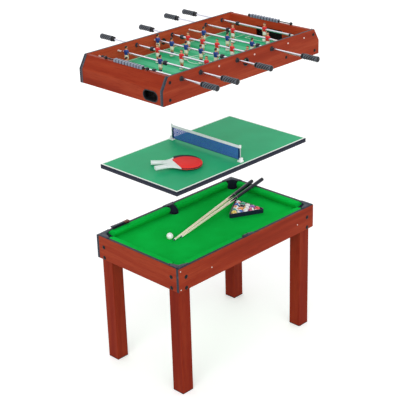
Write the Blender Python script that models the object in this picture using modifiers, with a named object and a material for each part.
"""Multi game table for the home: a pool table on four legs, a table tennis top with its net,
and a table football box with eight telescopic player rods.

Metres, +Z up. The origin is on the floor under the middle of the table. X runs along the table,
and the long side with the blue team's handles faces -Y. The two tops stand above the base, one
over the other, as the set is shown when it is laid out.
"""

import math

import bmesh
import bpy
from mathutils import Matrix, Vector

# Gap left between two pieces that touch, and how far a cutting shape runs past what it cuts
FIT = 0.0003
OVERRUN = 0.004

# Pool base
TABLE_LENGTH = 1.130
TABLE_WIDTH = 0.665
TABLE_HEIGHT = 0.800
APRON_HEIGHT = 0.142
APRON_BOARD = 0.018
LEG_SIDE = 0.080
LEG_WALL = 0.010
LEG_EDGE_BEVEL = 0.0015
RIM_TO_BED = 0.040
BED_BOARD = 0.012

# Cushions: widths are measured from the apron, heights from the bed
CUSHION_FOOT = 0.024
CUSHION_NOSE = 0.038
CUSHION_TOP = 0.030
NOSE_LOW = 0.020
NOSE_HIGH = 0.026
CUSHION_DROP = 0.0005

# Pockets
POCKET_RADIUS = 0.029
POCKET_SHELL = 0.002
POCKET_DEPTH = 0.050
POCKET_ROOM = 0.006
POCKET_JAW = 0.036
PLATE_THICKNESS = 0.003
PLATE_LEG = 0.095
PLATE_ARM = 0.022
PLATE_LAP = 0.001
PLATE_SHOULDER = 0.082
MIDDLE_INSET = 0.0535
MIDDLE_PLATE_HALF = 0.042
POCKET_SIDES = 16
MOUTH_HALF_ANGLE = math.radians(75)
MOUTH_STEPS = 6

# Balls, rack, cues and brush
BALL_RADIUS = 0.0188
BALL_ROWS = 5
BALL_PRESS = 0.0010
BALL_ROLL = math.radians(3)
BALL_ROLL_SHARES = (1.7, 2.9, 4.3)
BALL_SIDES = 12
BALL_RINGS = 4
CUE_BALL_SHARES = (-0.2425, 0.0481)
RACK_SHARES = (0.2504, -0.0361)
RACK_TURN = math.radians(3.4)
RACK_WALL = 0.006
RACK_HEIGHT = 0.022
RACK_CORNER = 0.012
RACK_CORNER_STEPS = 4
CUE_LENGTH = 0.865
CUE_TIP_RADIUS = 0.005
CUE_JOINT_RADIUS = 0.0085
CUE_BUTT_RADIUS = 0.0120
CUE_FERRULE = 0.016
CUE_BUTT_LENGTH = 0.330
CUE_BUMPER = 0.012
CUE_SIDES = 10
# Each cue's tip from the table's middle, as shares of its length and width, and its heading
CUE_TIP_SHARES = {
    "cue_long_side": (-0.2442, -0.0015, math.radians(11.0)),
    "cue_short_side": (-0.1956, -0.0060, math.radians(9.0)),
}
BRUSH_SHARE = -0.3504
BRUSH_LENGTH = 0.130
BRUSH_WIDTH = 0.030
BRUSH_BACK = 0.011
BRUSH_BRISTLES = 0.012
BRUSH_BRISTLE_INSET = 0.004
BRUSH_WAIST = 0.006
BRUSH_STEPS = 6

# Table tennis top
TENNIS_LENGTH = 1.050
TENNIS_WIDTH = 0.605
TENNIS_BOARD = 0.012
SKIRT_HEIGHT = 0.0137
SKIRT_WIDTH = 0.018
TENNIS_LIFT = 0.4035
NET_HEIGHT = 0.095
NET_LIFT = 0.0115
NET_CORD = 0.0012
NET_GAPS_ALONG = 22
NET_GAPS_UP = 4
NET_TAPE = 0.011
NET_TAPE_THICKNESS = 0.0024
POST_TO_EDGE = 0.0325
POST_RADIUS = 0.0035
POST_HEIGHT = 0.101
POST_BASE_LENGTH = 0.026
POST_BASE_WIDTH = 0.020
POST_BASE_HEIGHT = 0.009
POST_SIDES = 10

# Paddles
BLADE_RADIUS = 0.084
BLADE_THICKNESS = 0.010
BLADE_EDGE_BEVEL = 0.0015
RUBBER_END = 0.058
NECK_END = 0.094
HANDLE_LENGTH = 0.096
HANDLE_WIDTH = 0.029
HANDLE_THICKNESS = 0.021
HANDLE_BEVEL = 0.005
BLADE_STEPS = 22
# Each blade's middle from the top's middle, as shares of its length and width, and its heading
LOWER_PADDLE_SHARES = (-0.2114, -0.0909, math.radians(-45.0))
UPPER_PADDLE_SHARES = (-0.2248, -0.1405, math.radians(-25.0))

# Table football box
BOX_LENGTH = 1.220
BOX_WIDTH = 0.640
BOX_HEIGHT = 0.148
BOX_LIFT = 0.5175
WALL_BOARD = 0.012
WALL_END_HEIGHT = 0.078
WALL_CUT = 0.041
END_BOARD = 0.009
END_INSET = 0.002
GOAL_BOARD = 0.009
PITCH_BOARD = 0.009
PITCH_BELOW_AXIS = 0.072
GOAL_WIDTH = 0.200
GOAL_HEIGHT = 0.060
SLOT_LENGTH = 0.105
SLOT_HEIGHT = 0.054
SLOT_LIFT = 0.012
SLOT_SIDE_ROOM = 0.0305
SLOT_STEPS = 6
TRAY_LIFT = 0.004
TRAY_END = 0.004
TRAY_STOP = 0.018
TRAY_HIGH = 0.026
TRAY_LOW = 0.0118
TRAY_PAST_GOAL = 0.018
ENTRY_BELOW_TOP = 0.056
ENTRY_BORE = 0.0165
ENTRY_TUBE = 0.0185
ENTRY_FLANGE = 0.0220
ENTRY_LIP = 0.003
ENTRY_SIDES = 16

# Scorers
SCORE_BAR_RADIUS = 0.003
SCORE_BAR_LENGTH = 0.330
SCORE_KNOB_RADIUS = 0.0085
SCORE_KNOB_LENGTH = 0.012
SCORE_BEADS = 10
SCORE_BEAD_LENGTH = 0.022
SCORE_BEAD_RADIUS = 0.008
SCORE_BEAD_NECK = 0.0058
SCORE_NECK_LENGTH = 0.006
SCORE_SIDES = 8
BEAD_END_ROOM = 0.003
LEFT_BEADS_SHARE = 0.735
RIGHT_BEADS_SHARE = 0.0

# Player rods
GOAL_ROOM = 0.0689
ROD_BELOW_TOP = 0.031
TUBE_RADIUS = 0.0065
INNER_ROD_RADIUS = 0.0042
ROD_SIDES = 10
BEARING_RADIUS = 0.0125
BEARING_LIP = 0.003
CAP_RADIUS = 0.0062
CAP_LENGTH = 0.003
COLLAR_RADIUS = 0.0060
COLLAR_LENGTH = 0.004
END_ROOM = 0.001
ROD_ENGAGEMENT = 0.060
BLIND_ROOM = 0.005
BUMPER_RADIUS = 0.0125
BUMPER_LENGTH = 0.016
END_RING_RADIUS = 0.0095
END_RING_LENGTH = 0.010
HAND_ROOM = 0.110
GRIP_LENGTH = 0.125
GRIP_RADIUS = 0.0145
GRIP_WAIST = 0.0125
GRIP_NECK = 0.0090
GRIP_COLLAR = 0.012
GRIP_RIBS = 2
GRIP_DOME = 0.006

# By players on the rod: spacing, bumper to the first player, and the rod's full travel,
# as shares of the width inside the box
LINE_SHARES = {
    1: (0.000, 0.325, 0.316),
    2: (0.430, 0.050, 0.422),
    3: (0.300, 0.055, 0.268),
    5: (0.182, 0.065, 0.146),
}
# Rods from the left goal: players, handle side (-1 is the near side), and the share of the
# travel that the rod can still be pulled out
ROD_SHARES = (
    (1, -1, 0.90),
    (2, -1, 0.90),
    (3, 1, 0.70),
    (5, -1, 0.92),
    (5, 1, 0.78),
    (3, -1, 0.46),
    (2, 1, 0.64),
    (1, 1, 0.60),
)

# A player figure: drop to the soles and rise to the crown are measured from the rod's axis
FIGURE_DROP = 0.066
FIGURE_RISE = 0.038
FIGURE_WIDTH = 0.026
FIGURE_DEPTH = 0.018
FIGURE_SIDES = 8
# height as a share of the drop (below the axis) or the rise, then depth and width shares
FIGURE_SHARES = (
    (-1.00, 1.00, 0.58),
    (-0.78, 0.52, 0.50),
    (-0.42, 0.60, 0.60),
    (-0.24, 0.88, 0.82),
    (0.42, 0.92, 1.00),
    (0.56, 0.44, 0.40),
    (0.80, 0.76, 0.50),
    (1.00, 0.36, 0.26),
)

BED_TOP = TABLE_HEIGHT - RIM_TO_BED
RAIL_INSIDE_X = TABLE_LENGTH / 2 - APRON_BOARD - FIT
RAIL_INSIDE_Y = TABLE_WIDTH / 2 - APRON_BOARD - FIT
CORNER_INSET = APRON_BOARD + FIT + LEG_SIDE / 2
BALL_SPACING = 2 * BALL_RADIUS - BALL_PRESS
TENNIS_UNDERSIDE = TABLE_HEIGHT + TENNIS_LIFT
BOX_UNDERSIDE = TENNIS_UNDERSIDE + BOX_LIFT
POST_SPAN = TENNIS_WIDTH - 2 * POST_TO_EDGE
INSIDE_WIDTH = BOX_WIDTH - 2 * WALL_BOARD
AXIS_HEIGHT = BOX_HEIGHT - ROD_BELOW_TOP
PITCH_TOP = AXIS_HEIGHT - PITCH_BELOW_AXIS
END_TOP = BOX_HEIGHT - END_INSET
PANEL_LEAN = math.atan2(WALL_CUT, BOX_HEIGHT - WALL_END_HEIGHT)
PANEL_OUTSIDE = BOX_LENGTH / 2 - END_INSET
PANEL_TOP_OUTSIDE = PANEL_OUTSIDE - math.tan(PANEL_LEAN) * (END_TOP - WALL_END_HEIGHT)
GOAL_OUTSIDE = PANEL_TOP_OUTSIDE - END_BOARD / math.cos(PANEL_LEAN) - FIT
GOAL_INSIDE = GOAL_OUTSIDE - GOAL_BOARD
SCORER_X = (GOAL_INSIDE + PANEL_TOP_OUTSIDE) / 2
SLOT_Y = INSIDE_WIDTH / 2 - SLOT_SIDE_ROOM - SLOT_LENGTH / 2
ROD_STEP = 2 * (GOAL_INSIDE - GOAL_ROOM) / (len(ROD_SHARES) - 1)


def line_sizes(players):
    """Spacing, bumper to first player, and travel of a rod with that many players."""
    return [share * INSIDE_WIDTH for share in LINE_SHARES[players]]


def round_room(radius, sides):
    """Corner radius of a many-sided hole whose flats clear a round piece by the fit gap."""
    return (radius + FIT) / math.cos(math.pi / sides)


def on_top(shares, length, width):
    """A place on a table top, from the shares of its length and width."""
    return shares[0] * length, shares[1] * width


def clear_scene():
    for old in list(bpy.data.objects):
        bpy.data.objects.remove(old, do_unlink=True)


def new_collection(name):
    made = bpy.data.collections.new(name)
    bpy.context.scene.collection.children.link(made)
    return made


def new_material(name, colour, roughness, metallic=0.0):
    made = bpy.data.materials.new(name)
    made.use_nodes = True
    shader = made.node_tree.nodes["Principled BSDF"]
    shader.inputs["Base Color"].default_value = (*colour, 1.0)
    shader.inputs["Roughness"].default_value = roughness
    shader.inputs["Metallic"].default_value = metallic
    return made


clear_scene()
PARTS = new_collection("multi_game_table")
CUTTERS = new_collection("cutters")
LAMINATE = new_material("cherry_laminate", (0.33, 0.055, 0.026), 0.42)
FELT = new_material("green_felt", (0.006, 0.35, 0.035), 0.95)
BLACK_PLASTIC = new_material("black_plastic", (0.012, 0.013, 0.016), 0.45)
GREY_PLASTIC = new_material("grey_plastic", (0.075, 0.090, 0.120), 0.45)
CHROME = new_material("chromed_steel", (0.80, 0.81, 0.83), 0.12, 1.0)
BLUE_TEAM = new_material("blue_team", (0.015, 0.035, 0.25), 0.40)
RED_TEAM = new_material("red_team", (0.55, 0.015, 0.02), 0.40)
PITCH_PAINT = new_material("pitch_paint", (0.03, 0.30, 0.13), 0.45)
TENNIS_PAINT = new_material("tennis_paint", (0.05, 0.36, 0.17), 0.45)
NAVY_EDGE = new_material("navy_edge", (0.012, 0.016, 0.028), 0.50)
WHITE_PLASTIC = new_material("white_plastic", (0.80, 0.80, 0.78), 0.35)
NET_FABRIC = new_material("net_fabric", (0.03, 0.09, 0.38), 0.80)
RED_RUBBER = new_material("red_rubber", (0.62, 0.03, 0.035), 0.60)
BLACK_RUBBER = new_material("black_rubber", (0.014, 0.014, 0.016), 0.65)
CUE_WOOD = new_material("cue_wood", (0.66, 0.48, 0.25), 0.35)
BALL_RESIN = new_material("ball_resin", (0.70, 0.45, 0.10), 0.10)


def new_anchor(name, place):
    """An empty that carries the pieces of one assembly."""
    anchor = bpy.data.objects.new(name, None)
    anchor.location = place
    PARTS.objects.link(anchor)
    return anchor


def put(name, mesh, finish, place=(0, 0, 0), turn=(0, 0, 0), parent=None):
    """Place one finished sub-part."""
    mesh.name = name
    made = bpy.data.objects.new(name, mesh)
    made.data.materials.clear()
    made.data.materials.append(finish)
    made.location = place
    made.rotation_euler = turn
    made.parent = parent
    PARTS.objects.link(made)
    return made


def helper(name, mesh, place=(0, 0, 0), turn=(0, 0, 0), parent=None):
    """Place a shape that only cuts, or is joined to, a sub-part."""
    made = bpy.data.objects.new(name, mesh)
    made.location = place
    made.rotation_euler = turn
    made.parent = parent
    made.hide_render = True
    made.display_type = "WIRE"
    CUTTERS.objects.link(made)
    return made


def combine(target, tool, operation):
    step = target.modifiers.new(tool.name, "BOOLEAN")
    step.operation = operation
    step.object = tool
    return step


def cut(target, tool):
    return combine(target, tool, "DIFFERENCE")


def join(target, tool):
    return combine(target, tool, "UNION")


def bevel(target, width, segments=1):
    step = target.modifiers.new("edges", "BEVEL")
    step.width = width
    step.segments = segments
    step.limit_method = "ANGLE"
    return step


def mesh_from(shape, name):
    mesh = bpy.data.meshes.new(name)
    shape.to_mesh(mesh)
    shape.free()
    return mesh


def block(name, length, width, height):
    """A box about its own centre."""
    shape = bmesh.new()
    bmesh.ops.create_cube(shape, size=1.0)
    bmesh.ops.scale(shape, vec=(length, width, height), verts=shape.verts)
    return mesh_from(shape, name)


def drum(name, radius, depth, sides):
    """A round bar about its own centre, along Z."""
    shape = bmesh.new()
    bmesh.ops.create_cone(
        shape, cap_ends=True, segments=sides, radius1=radius, radius2=radius, depth=depth
    )
    return mesh_from(shape, name)


def ball(name, radius):
    shape = bmesh.new()
    bmesh.ops.create_uvsphere(
        shape, u_segments=BALL_SIDES, v_segments=BALL_RINGS, radius=radius
    )
    return mesh_from(shape, name)


def evaluated_mesh(made, name):
    """The mesh that an object's modifiers or curve make, with the object removed."""
    graph = bpy.context.evaluated_depsgraph_get()
    mesh = bpy.data.meshes.new_from_object(made.evaluated_get(graph))
    shape = bmesh.new()
    shape.from_mesh(mesh)
    bmesh.ops.remove_doubles(shape, verts=shape.verts, dist=FIT / 10)
    shape.to_mesh(mesh)
    shape.free()
    mesh.name = name
    old = made.data
    bpy.data.objects.remove(made, do_unlink=True)
    if isinstance(old, bpy.types.Mesh):
        bpy.data.meshes.remove(old)
    else:
        bpy.data.curves.remove(old)
    return mesh


def turned(name, profile, sides):
    """A turned shape about Z. The profile runs down the outer side as (radius, height)."""
    shape = bmesh.new()
    points = [shape.verts.new((radius, 0, height)) for radius, height in profile]
    for upper, lower in zip(points, points[1:]):
        shape.edges.new((upper, lower))
    made = bpy.data.objects.new(name, mesh_from(shape, name))
    CUTTERS.objects.link(made)
    spin = made.modifiers.new("turned", "SCREW")
    spin.steps = sides
    spin.render_steps = sides
    spin.use_merge_vertices = True
    spin.merge_threshold = FIT / 10
    mesh = evaluated_mesh(made, name)
    mesh.shade_smooth()
    mesh.set_sharp_from_angle(angle=math.radians(40))
    return mesh


def flat(name, outlines, thickness):
    """A flat piece about its mid plane: the first outline less the others, in X and Y."""
    curve = bpy.data.curves.new(name, "CURVE")
    curve.dimensions = "2D"
    curve.fill_mode = "BOTH"
    curve.extrude = thickness / 2
    for outline in outlines:
        spline = curve.splines.new("POLY")
        spline.points.add(len(outline) - 1)
        for point, (x, y) in zip(spline.points, outline):
            point.co = (x, y, 0, 1)
        spline.use_cyclic_u = True
    made = bpy.data.objects.new(name, curve)
    CUTTERS.objects.link(made)
    return evaluated_mesh(made, name)


def loft(name, sections):
    """A closed skin through rings of points that run anticlockwise seen from the last one."""
    shape = bmesh.new()
    rings = [[shape.verts.new(point) for point in section] for section in sections]
    for low, high in zip(rings, rings[1:]):
        for i in range(len(low)):
            j = (i + 1) % len(low)
            shape.faces.new((low[i], low[j], high[j], high[i]))
    shape.faces.new(list(reversed(rings[0])))
    shape.faces.new(rings[-1])
    return mesh_from(shape, name)


def arc(centre_x, centre_y, radius, start, end, steps):
    """Points along an arc, both ends included."""
    angles = [start + (end - start) * i / steps for i in range(steps + 1)]
    return [
        (centre_x + radius * math.cos(a), centre_y + radius * math.sin(a)) for a in angles
    ]


def rectangle(half_x, half_y):
    return [(-half_x, -half_y), (half_x, -half_y), (half_x, half_y), (-half_x, half_y)]


# Pool base


def pocket_places():
    """Each pocket's name, hole centre, and the outer point and turn of its plate."""
    places = []
    corner_x = TABLE_LENGTH / 2
    corner_y = TABLE_WIDTH / 2
    for name, side_x, side_y, turn in (
        ("near_left", -1, -1, 0),
        ("near_right", 1, -1, 90),
        ("far_right", 1, 1, 180),
        ("far_left", -1, 1, 270),
    ):
        hole = (side_x * (corner_x - CORNER_INSET), side_y * (corner_y - CORNER_INSET))
        edge = (side_x * corner_x, side_y * corner_y)
        places.append((name, hole, edge, math.radians(turn), True))
    for name, side_y, turn in (("near_middle", -1, 0), ("far_middle", 1, 180)):
        hole = (0.0, side_y * (corner_y - MIDDLE_INSET))
        edge = (0.0, side_y * corner_y)
        places.append((name, hole, edge, math.radians(turn), False))
    return places


def make_aprons():
    middle = TABLE_HEIGHT - APRON_HEIGHT / 2
    for name, side in (("near", -1), ("far", 1)):
        long_board = block("board", TABLE_LENGTH, APRON_BOARD, APRON_HEIGHT)
        place = (0, side * (TABLE_WIDTH - APRON_BOARD) / 2, middle)
        put("long_apron_" + name, long_board, LAMINATE, place)
    short_length = TABLE_WIDTH - 2 * APRON_BOARD - 2 * FIT
    for name, side in (("left", -1), ("right", 1)):
        short_board = block("board", APRON_BOARD, short_length, APRON_HEIGHT)
        place = (side * (TABLE_LENGTH - APRON_BOARD) / 2, 0, middle)
        put("short_apron_" + name, short_board, LAMINATE, place)


def make_legs():
    """Box legs behind the aprons, open at the top where the corner pockets hang in them."""
    height = BED_TOP - BED_BOARD - FIT
    well = POCKET_DEPTH + POCKET_ROOM
    hollow = LEG_SIDE - 2 * LEG_WALL
    reach_x = TABLE_LENGTH / 2 - CORNER_INSET
    reach_y = TABLE_WIDTH / 2 - CORNER_INSET
    for name, side_x, side_y in (
        ("near_left", -1, -1),
        ("near_right", 1, -1),
        ("far_left", -1, 1),
        ("far_right", 1, 1),
    ):
        place = (side_x * reach_x, side_y * reach_y, height / 2)
        leg = put("leg_" + name, block("leg", LEG_SIDE, LEG_SIDE, height), LAMINATE, place)
        bevel(leg, LEG_EDGE_BEVEL)
        room = block("well", hollow, hollow, well + OVERRUN)
        top = (place[0], place[1], height - well / 2 + OVERRUN / 2)
        cut(leg, helper("leg_well_" + name, room, top))


def make_bed():
    board = block("bed", 2 * RAIL_INSIDE_X, 2 * RAIL_INSIDE_Y, BED_BOARD)
    bed = put("playing_bed", board, FELT, (0, 0, BED_TOP - BED_BOARD / 2))
    radius = round_room(POCKET_RADIUS, POCKET_SIDES)
    for name, hole, edge, turn, corner in pocket_places():
        tool = drum("hole", radius, BED_BOARD + 2 * OVERRUN, POCKET_SIDES)
        place = (hole[0], hole[1], BED_TOP - BED_BOARD / 2)
        cut(bed, helper("bed_hole_" + name, tool, place))


def make_cushions():
    """One frame of cushions, undercut below the nose, with a bay at each pocket."""
    height = RIM_TO_BED - FIT - CUSHION_DROP
    base = BED_TOP + FIT
    frame_mesh = block("cushions", 2 * RAIL_INSIDE_X, 2 * RAIL_INSIDE_Y, height)
    frame = put("cushion_frame", frame_mesh, FELT, (0, 0, base + height / 2))
    levels = (
        (-OVERRUN, CUSHION_FOOT),
        (0, CUSHION_FOOT),
        (NOSE_LOW, CUSHION_NOSE),
        (NOSE_HIGH, CUSHION_NOSE),
        (height, CUSHION_TOP),
        (height + OVERRUN, CUSHION_TOP),
    )
    sections = []
    for level, width in levels:
        outline = rectangle(RAIL_INSIDE_X - width, RAIL_INSIDE_Y - width)
        sections.append([(x, y, base + level) for x, y in outline])
    cut(frame, helper("playing_hollow", loft("playing_hollow", sections)))
    liner = round_room(POCKET_RADIUS, POCKET_SIDES)
    for name, hole, edge, turn, corner in pocket_places():
        radius = POCKET_JAW if corner else liner
        tool = drum("bay", radius, height + 2 * OVERRUN, POCKET_SIDES)
        place = (hole[0], hole[1], base + height / 2)
        cut(frame, helper("cushion_bay_" + name, tool, place))


def corner_plate_outline():
    """The plate's outline inwards from the table's corner, with the pocket's arc cut out."""
    radius = POCKET_RADIUS - POCKET_SHELL
    facing = math.radians(225)
    start = facing + MOUTH_HALF_ANGLE
    end = facing - MOUTH_HALF_ANGLE
    mouth = arc(CORNER_INSET, CORNER_INSET, radius, start, end, MOUTH_STEPS)
    leg_side = [(0, 0), (PLATE_LEG, 0), (PLATE_LEG, PLATE_ARM), (PLATE_SHOULDER, PLATE_ARM)]
    other_side = [(PLATE_ARM, PLATE_SHOULDER), (PLATE_ARM, PLATE_LEG), (0, PLATE_LEG)]
    return leg_side + mouth + other_side


def middle_plate_outline():
    radius = POCKET_RADIUS - POCKET_SHELL
    facing = math.radians(270)
    start = facing + MOUTH_HALF_ANGLE
    end = facing - MOUTH_HALF_ANGLE
    mouth = arc(0, MIDDLE_INSET, radius, start, end, MOUTH_STEPS)
    half = MIDDLE_PLATE_HALF
    return [(-half, 0), (half, 0), (half, PLATE_ARM)] + mouth + [(-half, PLATE_ARM)]


def make_pockets():
    """Moulded pockets: a plate on the rail, a back wall, and a cup that hangs under the bed."""
    inner = POCKET_RADIUS - POCKET_SHELL
    plate_base = TABLE_HEIGHT + FIT
    top = plate_base + PLATE_THICKNESS - PLATE_LAP
    floor = BED_TOP - BED_BOARD - POCKET_DEPTH
    profile = (
        (inner, top),
        (POCKET_RADIUS, top),
        (POCKET_RADIUS, floor),
        (0, floor),
        (0, floor + POCKET_SHELL),
        (inner, floor + POCKET_SHELL),
        (inner, top),
    )
    mouth_height = top - BED_TOP + OVERRUN
    set_back = inner * math.cos(MOUTH_HALF_ANGLE)
    mouth_depth = set_back + POCKET_RADIUS + OVERRUN
    for name, hole, edge, turn, corner in pocket_places():
        pocket = put(
            "pocket_" + name,
            turned("pocket", profile, POCKET_SIDES),
            GREY_PLASTIC,
            (hole[0], hole[1], 0),
        )
        facing = math.radians(45) if corner else math.radians(90)
        outward = Vector((math.cos(turn + facing), math.sin(turn + facing)))
        opening = block("mouth", mouth_depth, 2 * POCKET_RADIUS + 2 * OVERRUN, mouth_height)
        shift = (mouth_depth / 2 - set_back) * outward
        place = (hole[0] + shift.x, hole[1] + shift.y, BED_TOP + mouth_height / 2)
        turned_by = (0, 0, turn + facing)
        cut(pocket, helper("pocket_mouth_" + name, opening, place, turned_by))
        outline = corner_plate_outline() if corner else middle_plate_outline()
        plate = flat("plate", [outline], PLATE_THICKNESS)
        place = (edge[0], edge[1], plate_base + PLATE_THICKNESS / 2)
        join(pocket, helper("pocket_plate_" + name, plate, place, (0, 0, turn)))


def rack_outline(inradius, corner):
    """A triangle with round corners, one corner towards -X, about the racked balls."""
    points = []
    reach = 2 * (inradius - corner)
    for facing in (180, 300, 60):
        middle = math.radians(facing)
        centre_x = reach * math.cos(middle)
        centre_y = reach * math.sin(middle)
        start = middle - math.radians(60)
        end = middle + math.radians(60)
        points += arc(centre_x, centre_y, corner, start, end, RACK_CORNER_STEPS)
    return points


def ball_turn(number):
    """A small turn of the ball's own, so that no two balls lie alike."""
    return tuple(BALL_ROLL * math.sin(number * share) for share in BALL_ROLL_SHARES)


def make_balls_and_rack():
    middle = BED_TOP + FIT + BALL_RADIUS
    cue_ball = put("cue_ball", ball("ball", BALL_RADIUS), WHITE_PLASTIC)
    ball_x, ball_y = on_top(CUE_BALL_SHARES, TABLE_LENGTH, TABLE_WIDTH)
    cue_ball.location = (ball_x, ball_y, middle)
    rack_x, rack_y = on_top(RACK_SHARES, TABLE_LENGTH, TABLE_WIDTH)
    anchor = new_anchor("rack_anchor", (rack_x, rack_y, 0))
    anchor.rotation_euler = (0, 0, RACK_TURN)
    row_step = BALL_SPACING * math.sqrt(3) / 2
    apex = -row_step * (BALL_ROWS - 1) * 2 / 3
    places = []
    for row in range(BALL_ROWS):
        for seat in range(row + 1):
            places.append((apex + row * row_step, (seat - row / 2) * BALL_SPACING, middle))
    first = ball("ball", BALL_RADIUS)
    racked = put("racked_balls", first, BALL_RESIN, places[0], ball_turn(1), anchor)
    for number, place in enumerate(places[1:], start=2):
        other = ball("ball", BALL_RADIUS)
        name = "racked_ball_%02d" % number
        join(racked, helper(name, other, place, ball_turn(number), anchor))
    inside = (BALL_ROWS - 1) * BALL_SPACING / (2 * math.sqrt(3)) + BALL_RADIUS + FIT
    outlines = [
        rack_outline(inside + RACK_WALL, RACK_CORNER),
        rack_outline(inside, RACK_CORNER - RACK_WALL),
    ]
    rack_mesh = flat("rack", outlines, RACK_HEIGHT)
    place = (0, 0, BED_TOP + FIT + RACK_HEIGHT / 2)
    put("triangle_rack", rack_mesh, BLACK_PLASTIC, place, parent=anchor)


def cue_radius(along):
    """Radius of a cue at a distance from its tip: a slim shaft and a fuller butt."""
    shaft = CUE_LENGTH - CUE_BUTT_LENGTH
    if along < shaft:
        return CUE_TIP_RADIUS + (CUE_JOINT_RADIUS - CUE_TIP_RADIUS) * along / shaft
    share = (along - shaft) / CUE_BUTT_LENGTH
    return CUE_JOINT_RADIUS + (CUE_BUTT_RADIUS - CUE_JOINT_RADIUS) * share


def make_cues():
    """Each cue lies with its tip on the bed and its butt over the cushion's top."""
    shaft = CUE_LENGTH - CUE_BUTT_LENGTH
    stations = (0, CUE_FERRULE, shaft / 2, shaft, CUE_LENGTH - CUE_BUMPER)
    profile = [(0, 0)] + [(cue_radius(along), along) for along in stations]
    profile += [(CUE_BUTT_RADIUS - FIT, CUE_LENGTH), (0, CUE_LENGTH)]
    profile.reverse()
    rim = TABLE_HEIGHT - CUSHION_DROP + FIT
    for name, (*shares, heading) in CUE_TIP_SHARES.items():
        tip_x, tip_y = on_top(shares, TABLE_LENGTH, TABLE_WIDTH)
        reach = (RAIL_INSIDE_X - CUSHION_TOP - tip_x) / math.cos(heading)
        tip_height = BED_TOP + FIT + CUE_TIP_RADIUS
        rise = rim + cue_radius(reach) - tip_height
        slope = math.atan2(rise + cue_radius(reach) * (rise / reach) ** 2, reach)
        turn = (0, math.pi / 2 - slope, heading)
        cue_mesh = turned("cue", profile, CUE_SIDES)
        put(name, cue_mesh, CUE_WOOD, (tip_x, tip_y, tip_height), turn)


def make_brush():
    """A waisted wooden back over a block of bristles, lying on the far rail."""
    half = BRUSH_LENGTH / 2
    width = BRUSH_WIDTH / 2
    side = []
    for i in range(BRUSH_STEPS + 1):
        share = i / BRUSH_STEPS
        x = half - BRUSH_LENGTH * share
        side.append((x, width - BRUSH_WAIST * math.sin(math.pi * share)))
    outline = side + [(-x, -y) for x, y in side]
    base = TABLE_HEIGHT + FIT
    centre_y = RAIL_INSIDE_Y + APRON_BOARD - width
    brush_x = BRUSH_SHARE * TABLE_LENGTH
    back_place = (brush_x, centre_y, base + BRUSH_BRISTLES + BRUSH_BACK / 2)
    brush_mesh = flat("brush", [outline], BRUSH_BACK)
    brush = put("table_brush", brush_mesh, BLACK_PLASTIC, back_place)
    tuft_length = BRUSH_LENGTH - 2 * BRUSH_BRISTLE_INSET
    tuft_width = BRUSH_WIDTH - 2 * BRUSH_WAIST - 2 * BRUSH_BRISTLE_INSET
    tuft_height = BRUSH_BRISTLES + BRUSH_BACK / 2
    tufts = block("tufts", tuft_length, tuft_width, tuft_height)
    tuft_place = (brush_x, centre_y, base + tuft_height / 2)
    join(brush, helper("brush_tufts", tufts, tuft_place))


# Table tennis top


def make_tennis_top(anchor):
    board = block("board", TENNIS_LENGTH, TENNIS_WIDTH, TENNIS_BOARD)
    board_middle = SKIRT_HEIGHT + FIT + TENNIS_BOARD / 2
    put("tennis_board", board, TENNIS_PAINT, (0, 0, board_middle), parent=anchor)
    outer = rectangle(TENNIS_LENGTH / 2, TENNIS_WIDTH / 2)
    inner = rectangle(TENNIS_LENGTH / 2 - SKIRT_WIDTH, TENNIS_WIDTH / 2 - SKIRT_WIDTH)
    skirt = flat("skirt", [outer, inner], SKIRT_HEIGHT)
    put("tennis_skirt", skirt, NAVY_EDGE, (0, 0, SKIRT_HEIGHT / 2), parent=anchor)
    return SKIRT_HEIGHT + FIT + TENNIS_BOARD


def make_net(anchor, table_top):
    """A flat net with open meshes, a tape along its top, and a post at each end."""
    for name, side in (("near", -1), ("far", 1)):
        base_mesh = block("base", POST_BASE_LENGTH, POST_BASE_WIDTH, POST_BASE_HEIGHT)
        place = (0, side * POST_SPAN / 2, table_top + FIT + POST_BASE_HEIGHT / 2)
        post = put("net_post_" + name, base_mesh, WHITE_PLASTIC, place, parent=anchor)
        stem_height = POST_HEIGHT - POST_BASE_HEIGHT / 2
        stem = drum("stem", POST_RADIUS, stem_height, POST_SIDES)
        stem_place = (place[0], place[1], table_top + FIT + POST_HEIGHT - stem_height / 2)
        join(post, helper("net_stem_" + name, stem, stem_place, parent=anchor))
    length = POST_SPAN - 2 * POST_RADIUS - 2 * FIT
    height = NET_HEIGHT - NET_LIFT - NET_TAPE / 2
    shape = bmesh.new()
    bmesh.ops.create_grid(
        shape, x_segments=NET_GAPS_UP, y_segments=NET_GAPS_ALONG, size=0.5
    )
    bmesh.ops.scale(shape, vec=(height - NET_CORD, length - NET_CORD, 1), verts=shape.verts)
    bmesh.ops.rotate(
        shape, cent=(0, 0, 0), matrix=Matrix.Rotation(math.pi / 2, 3, "Y"), verts=shape.verts
    )
    net = put("table_net", mesh_from(shape, "net"), NET_FABRIC, parent=anchor)
    net.location = (0, 0, table_top + NET_LIFT + height / 2)
    cords = net.modifiers.new("cords", "WIREFRAME")
    cords.thickness = NET_CORD
    cords.use_boundary = True
    cords.use_even_offset = False
    tape = block("tape", NET_TAPE_THICKNESS, length, NET_TAPE)
    tape_place = (0, 0, table_top + NET_HEIGHT - NET_TAPE / 2)
    join(net, helper("net_tape", tape, tape_place, parent=anchor))


def paddle_outline():
    """Blade and neck, blade centre at the origin and the handle towards -X."""
    neck = HANDLE_WIDTH / 2
    chord = math.asin(RUBBER_END / BLADE_RADIUS) + math.pi / 2
    points = arc(0, 0, BLADE_RADIUS, -chord, chord, BLADE_STEPS)
    return points + [(-NECK_END, neck), (-NECK_END, -neck)]


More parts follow.
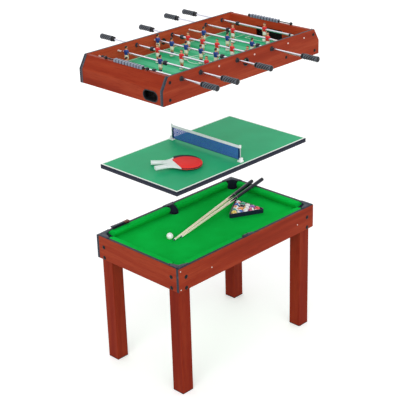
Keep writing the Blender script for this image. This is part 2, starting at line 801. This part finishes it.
def paddle_mesh(name):
    blade = bpy.data.objects.new(name, flat(name, [paddle_outline()], BLADE_THICKNESS))
    CUTTERS.objects.link(blade)
    handle = helper(
        name + "_handle",
        block(name, HANDLE_LENGTH, HANDLE_WIDTH, HANDLE_THICKNESS),
        (-NECK_END - HANDLE_LENGTH / 2 + OVERRUN, 0, 0),
    )
    bevel(handle, HANDLE_BEVEL)
    join(blade, handle)
    return evaluated_mesh(blade, name)


def make_paddles(anchor, table_top):
    """The lower paddle lies on its blade and handle, and the upper one on its blade."""
    handle_foot = NECK_END - OVERRUN + HANDLE_BEVEL
    step = (HANDLE_THICKNESS - BLADE_THICKNESS) / 2
    tilt = math.atan2(step, handle_foot + BLADE_RADIUS)
    *lower_shares, lower_heading = LOWER_PADDLE_SHARES
    *upper_shares, upper_heading = UPPER_PADDLE_SHARES
    lower_x, lower_y = on_top(lower_shares, TENNIS_LENGTH, TENNIS_WIDTH)
    upper_x, upper_y = on_top(upper_shares, TENNIS_LENGTH, TENNIS_WIDTH)
    lean = Matrix.Rotation(lower_heading, 4, "Z") @ Matrix.Rotation(tilt, 4, "Y")
    level = BLADE_THICKNESS / 2 + BLADE_RADIUS * math.sin(tilt)
    lower = Matrix.Translation((lower_x, lower_y, table_top + FIT + level)) @ lean
    offset = Vector((upper_x - lower_x, upper_y - lower_y, 0))
    offset.rotate(Matrix.Rotation(-lower_heading, 3, "Z"))
    raised = Matrix.Translation((offset.x, offset.y, BLADE_THICKNESS + FIT))
    upper = lower @ raised @ Matrix.Rotation(upper_heading - lower_heading, 4, "Z")
    for name, finish, matrix in (
        ("paddle_black", BLACK_RUBBER, lower),
        ("paddle_red", RED_RUBBER, upper),
    ):
        paddle = put(name, paddle_mesh(name), finish, parent=anchor)
        paddle.matrix_local = matrix


# Table football box


def rod_places():
    """Number, x, players, handle side and rest gap of each rod."""
    middle = (len(ROD_SHARES) - 1) / 2
    places = []
    for number, (players, side, share) in enumerate(ROD_SHARES):
        gap = share * line_sizes(players)[2]
        places.append((number + 1, (number - middle) * ROD_STEP, players, side, gap))
    return places


def make_side_walls(anchor):
    """Long walls with cut corners, their bearings and the holes for rods and balls."""
    half = BOX_LENGTH / 2
    outline = [
        (-half, 0),
        (half, 0),
        (half, WALL_END_HEIGHT),
        (half - WALL_CUT, BOX_HEIGHT),
        (WALL_CUT - half, BOX_HEIGHT),
        (-half, WALL_END_HEIGHT),
    ]
    upright = (math.pi / 2, 0, 0)
    entry = ENTRY_TUBE
    for name, side in (("near", -1), ("far", 1)):
        y = side * (BOX_WIDTH - WALL_BOARD) / 2
        wall_mesh = flat("wall", [outline], WALL_BOARD)
        wall = put("side_wall_" + name, wall_mesh, LAMINATE, (0, y, 0), upright, anchor)
        through = WALL_BOARD + 2 * BEARING_LIP + 2 * OVERRUN
        for number, x, players, handle_side, gap in rod_places():
            place = (x, y, AXIS_HEIGHT)
            label = "%s_%d" % (name, number)
            if handle_side == side:
                boss_depth = WALL_BOARD + 2 * BEARING_LIP
                boss = drum("bearing", BEARING_RADIUS, boss_depth, ROD_SIDES)
                join(wall, helper("bearing_" + label, boss, place, upright, anchor))
            radius = TUBE_RADIUS if handle_side == side else INNER_ROD_RADIUS
            hole = drum("rod_hole", round_room(radius, ROD_SIDES), through, ROD_SIDES)
            cut(wall, helper("rod_hole_" + label, hole, place, upright, anchor))
        hole = drum("entry_hole", round_room(entry, ENTRY_SIDES), through, ENTRY_SIDES)
        place = (0, y, BOX_HEIGHT - ENTRY_BELOW_TOP)
        cut(wall, helper("entry_hole_" + name, hole, place, upright, anchor))


def make_ball_entries(anchor):
    """A flanged ring through each long wall, where the ball is served."""
    lip = WALL_BOARD / 2 + FIT
    profile = (
        (ENTRY_BORE, lip + ENTRY_LIP),
        (ENTRY_FLANGE, lip + ENTRY_LIP),
        (ENTRY_FLANGE, lip),
        (ENTRY_TUBE, lip),
        (ENTRY_TUBE, -lip),
        (ENTRY_BORE, -lip),
        (ENTRY_BORE, lip + ENTRY_LIP),
    )
    for name, side in (("near", -1), ("far", 1)):
        place = (0, side * (BOX_WIDTH - WALL_BOARD) / 2, BOX_HEIGHT - ENTRY_BELOW_TOP)
        turn = (-side * math.pi / 2, 0, 0)
        ring = turned("ball_entry", profile, ENTRY_SIDES)
        put("ball_entry_" + name, ring, BLACK_PLASTIC, place, turn, anchor)


def panel_outline():
    """An end panel seen along the table: upright below and leaning inwards above."""
    kink = END_BOARD * math.tan(PANEL_LEAN / 2)
    inside_top = PANEL_TOP_OUTSIDE - END_BOARD / math.cos(PANEL_LEAN)
    return [
        (PANEL_OUTSIDE - END_BOARD, 0),
        (PANEL_OUTSIDE, 0),
        (PANEL_OUTSIDE, WALL_END_HEIGHT),
        (PANEL_TOP_OUTSIDE, END_TOP),
        (inside_top, END_TOP),
        (PANEL_OUTSIDE - END_BOARD, WALL_END_HEIGHT - kink),
    ]


def stadium(length, height, steps):
    radius = height / 2
    reach = length / 2 - radius
    quarter = math.pi / 2
    right = arc(reach, 0, radius, -quarter, quarter, steps)
    left = arc(-reach, 0, radius, quarter, 3 * quarter, steps)
    return right + left


def make_ends(anchor):
    """Each end has a sloping panel with a return slot, a goal board and a ball tray."""
    inside = INSIDE_WIDTH - 2 * FIT
    for name, side, about in (("left", -1, math.pi), ("right", 1, 0.0)):
        turn = (math.pi / 2, 0, about)
        panel_mesh = flat("end_panel", [panel_outline()], inside)
        panel = put("end_panel_" + name, panel_mesh, LAMINATE, (0, 0, 0), turn, anchor)
        slot = flat("slot", [stadium(SLOT_LENGTH, SLOT_HEIGHT, SLOT_STEPS)], 2 * END_BOARD)
        slot_x = side * (PANEL_OUTSIDE - END_BOARD / 2)
        slot_place = (slot_x, side * SLOT_Y, SLOT_LIFT + SLOT_HEIGHT / 2)
        slot_turn = (math.pi / 2, 0, math.pi / 2)
        cut(panel, helper("return_slot_" + name, slot, slot_place, slot_turn, anchor))

        board = block("goal_board", GOAL_BOARD, inside, END_TOP)
        board_x = side * (GOAL_INSIDE + GOAL_BOARD / 2)
        board_place = (board_x, 0, END_TOP / 2)
        goal = put("goal_board_" + name, board, LAMINATE, board_place, parent=anchor)
        mouth = block("mouth", GOAL_BOARD + 2 * OVERRUN, GOAL_WIDTH, GOAL_HEIGHT)
        mouth_place = (board_x, 0, PITCH_TOP + GOAL_HEIGHT / 2)
        cut(goal, helper("goal_mouth_" + name, mouth, mouth_place, parent=anchor))

        tray_width = PANEL_OUTSIDE - END_BOARD - GOAL_OUTSIDE - 2 * FIT
        far_end = inside / 2
        near_end = -GOAL_WIDTH / 2 - TRAY_PAST_GOAL
        slot_edge = SLOT_Y - SLOT_LENGTH / 2
        outline = [
            (near_end, TRAY_LIFT),
            (far_end, TRAY_LIFT),
            (far_end, TRAY_LOW + TRAY_STOP),
            (far_end - TRAY_END, TRAY_LOW + TRAY_STOP),
            (far_end - TRAY_END, TRAY_LOW),
            (slot_edge, TRAY_LOW),
            (near_end + TRAY_END, TRAY_HIGH),
            (near_end + TRAY_END, TRAY_HIGH + TRAY_STOP),
            (near_end, TRAY_HIGH + TRAY_STOP),
        ]
        tray_mesh = flat("tray", [outline], tray_width)
        tray_x = side * (GOAL_OUTSIDE + FIT + tray_width / 2)
        tray_turn = (math.pi / 2, 0, side * math.pi / 2)
        tray_place = (tray_x, 0, 0)
        put("ball_tray_" + name, tray_mesh, BLACK_PLASTIC, tray_place, tray_turn, anchor)


def make_pitch(anchor):
    length = 2 * (GOAL_INSIDE - FIT)
    board = block("pitch", length, INSIDE_WIDTH - 2 * FIT, PITCH_BOARD)
    place = (0, 0, PITCH_TOP - PITCH_BOARD / 2)
    put("pitch_board", board, PITCH_PAINT, place, parent=anchor)


def make_scorers(anchor):
    """A bar with a knob at each end and a run of sliding beads, on top of each end."""
    half_bar = SCORE_BAR_LENGTH / 2
    knob = half_bar - SCORE_KNOB_LENGTH
    bar_profile = (
        (0, half_bar),
        (SCORE_KNOB_RADIUS, half_bar),
        (SCORE_KNOB_RADIUS, knob),
        (SCORE_BAR_RADIUS, knob),
        (SCORE_BAR_RADIUS, -knob),
        (SCORE_KNOB_RADIUS, -knob),
        (SCORE_KNOB_RADIUS, -half_bar),
        (0, -half_bar),
    )
    run = SCORE_BEADS * SCORE_BEAD_LENGTH
    bore = round_room(SCORE_BAR_RADIUS, SCORE_SIDES)
    beads = [(bore, run / 2)]
    for number in range(SCORE_BEADS):
        top = run / 2 - number * SCORE_BEAD_LENGTH
        bottom = top - SCORE_BEAD_LENGTH
        beads.append((SCORE_BEAD_RADIUS, top))
        beads.append((SCORE_BEAD_RADIUS, bottom + SCORE_NECK_LENGTH))
        beads.append((SCORE_BEAD_NECK, bottom + SCORE_NECK_LENGTH / 2))
    beads += [(SCORE_BEAD_NECK, -run / 2), (bore, -run / 2), (bore, run / 2)]
    height = END_TOP + FIT + SCORE_KNOB_RADIUS
    turn = (-math.pi / 2, 0, 0)
    free = 2 * (knob - BEAD_END_ROOM) - run
    for name, side, share in (
        ("left", -1, LEFT_BEADS_SHARE),
        ("right", 1, RIGHT_BEADS_SHARE),
    ):
        shift = free * (1 / 2 - share)
        place = (side * SCORER_X, 0, height)
        bar = turned("score_bar", bar_profile, SCORE_SIDES)
        put("score_bar_" + name, bar, BLACK_PLASTIC, place, turn, anchor)
        bead_place = (side * SCORER_X, shift, height)
        bead_mesh = turned("score_beads", beads, SCORE_SIDES)
        put("score_beads_" + name, bead_mesh, GREY_PLASTIC, bead_place, turn, anchor)


def figure_mesh():
    """A player seen from the rod's axis: boots, legs, shorts, shirt, neck and head."""
    flat_to_corner = 1 / math.cos(math.pi / FIGURE_SIDES)
    sections = []
    for level, depth, width in FIGURE_SHARES:
        height = level * (FIGURE_DROP if level < 0 else FIGURE_RISE)
        ring = []
        for i in range(FIGURE_SIDES):
            angle = 2 * math.pi * (i + 1 / 2) / FIGURE_SIDES
            x = FIGURE_DEPTH / 2 * depth * flat_to_corner * math.cos(angle)
            y = FIGURE_WIDTH / 2 * width * flat_to_corner * math.sin(angle)
            ring.append((x, y, height))
        sections.append(ring)
    return loft("figure", sections)


def grip_profile(start):
    """The handle's outer side from its round end down to its neck, ribbed for the hand."""
    end = start + GRIP_LENGTH
    rib = (GRIP_LENGTH - GRIP_COLLAR - GRIP_DOME) / GRIP_RIBS
    profile = [(0, end), (GRIP_WAIST - GRIP_DOME / 2, end), (GRIP_RADIUS, end - GRIP_DOME)]
    for number in range(GRIP_RIBS):
        top = end - GRIP_DOME - number * rib
        profile.append((GRIP_WAIST, top - rib / 2))
        profile.append((GRIP_RADIUS, top - rib))
    profile += [(GRIP_NECK, start + GRIP_COLLAR), (GRIP_NECK, start)]
    return profile


def player_rod_profile(players, gap):
    """Tube, bumper and grip as (radius, distance from the box's middle towards the grip)."""
    spacing, first, travel = line_sizes(players)
    half = INSIDE_WIDTH / 2
    push = travel - gap
    grip_start = half + WALL_BOARD + HAND_ROOM + push
    bumper_face = half - BEARING_LIP - gap
    bumper_back = bumper_face - BUMPER_LENGTH
    tube_end = -half + FIT + COLLAR_LENGTH + END_ROOM + push
    profile = grip_profile(grip_start)
    profile += [
        (TUBE_RADIUS, grip_start),
        (TUBE_RADIUS, bumper_face),
        (BUMPER_RADIUS, bumper_face),
        (BUMPER_RADIUS, bumper_back),
        (TUBE_RADIUS, bumper_back),
    ]
    if players == 1:
        ring_top = tube_end + END_RING_LENGTH
        profile += [(TUBE_RADIUS, ring_top), (END_RING_RADIUS, ring_top)]
        profile += [(END_RING_RADIUS, tube_end)]
    else:
        profile += [(TUBE_RADIUS, tube_end)]
    profile += [(0, tube_end)]
    return profile


def inner_rod_profile(players):
    """The thin rod that the tube slides on, fixed at the wall opposite the handle."""
    travel = line_sizes(players)[2]
    half = INSIDE_WIDTH / 2
    reach = -half + FIT + COLLAR_LENGTH + END_ROOM + travel + ROD_ENGAGEMENT
    collar_top = -half + FIT + COLLAR_LENGTH
    cap_top = -half - WALL_BOARD - FIT
    return [
        (0, reach),
        (INNER_ROD_RADIUS, reach),
        (INNER_ROD_RADIUS, collar_top),
        (COLLAR_RADIUS, collar_top),
        (COLLAR_RADIUS, -half + FIT),
        (INNER_ROD_RADIUS, -half + FIT),
        (INNER_ROD_RADIUS, cap_top),
        (CAP_RADIUS, cap_top),
        (INNER_ROD_RADIUS, cap_top - CAP_LENGTH),
        (0, cap_top - CAP_LENGTH),
    ]


def make_rods(anchor):
    """Telescopic rods: players and grip on a tube that slides and turns on an inner rod."""
    bore_radius = round_room(INNER_ROD_RADIUS, ROD_SIDES)
    for number, x, players, handle_side, gap in rod_places():
        axis = new_anchor("rod_axis_%d" % number, (x, 0, AXIS_HEIGHT))
        axis.parent = anchor
        turn = (-handle_side * math.pi / 2, 0, 0)
        inner = turned("inner_rod", inner_rod_profile(players), ROD_SIDES)
        put("inner_rod_%d" % number, inner, CHROME, (0, 0, 0), turn, axis)
        team = BLUE_TEAM if handle_side < 0 else RED_TEAM
        tube = turned("player_rod", player_rod_profile(players, gap), ROD_SIDES)
        rod = put("player_rod_%d" % number, tube, team, (0, 0, 0), turn, axis)
        spacing, first, travel = line_sizes(players)
        start = INSIDE_WIDTH / 2 - BEARING_LIP - gap - BUMPER_LENGTH - first
        for place in range(players):
            y = handle_side * (start - place * spacing)
            name = "player_%d_%d" % (number, place + 1)
            join(rod, helper(name, figure_mesh(), (0, y, 0), parent=axis))
        tube_end = -INSIDE_WIDTH / 2 + FIT + COLLAR_LENGTH + END_ROOM + travel - gap
        depth = travel + ROD_ENGAGEMENT + BLIND_ROOM
        bore = drum("bore", bore_radius, depth + OVERRUN, ROD_SIDES)
        middle = tube_end + (depth - OVERRUN) / 2
        bore_turn = (math.pi / 2, 0, 0)
        bore_place = (0, handle_side * middle, 0)
        cut(rod, helper("rod_bore_%d" % number, bore, bore_place, bore_turn, axis))


def main():
    make_aprons()
    make_legs()
    make_bed()
    make_cushions()
    make_pockets()
    make_balls_and_rack()
    make_cues()
    make_brush()
    tennis = new_anchor("tennis_top", (0, 0, TENNIS_UNDERSIDE))
    table_top = make_tennis_top(tennis)
    make_net(tennis, table_top)
    make_paddles(tennis, table_top)
    football = new_anchor("football_box", (0, 0, BOX_UNDERSIDE))
    make_side_walls(football)
    make_ball_entries(football)
    make_ends(football)
    make_pitch(football)
    make_scorers(football)
    make_rods(football)


main()
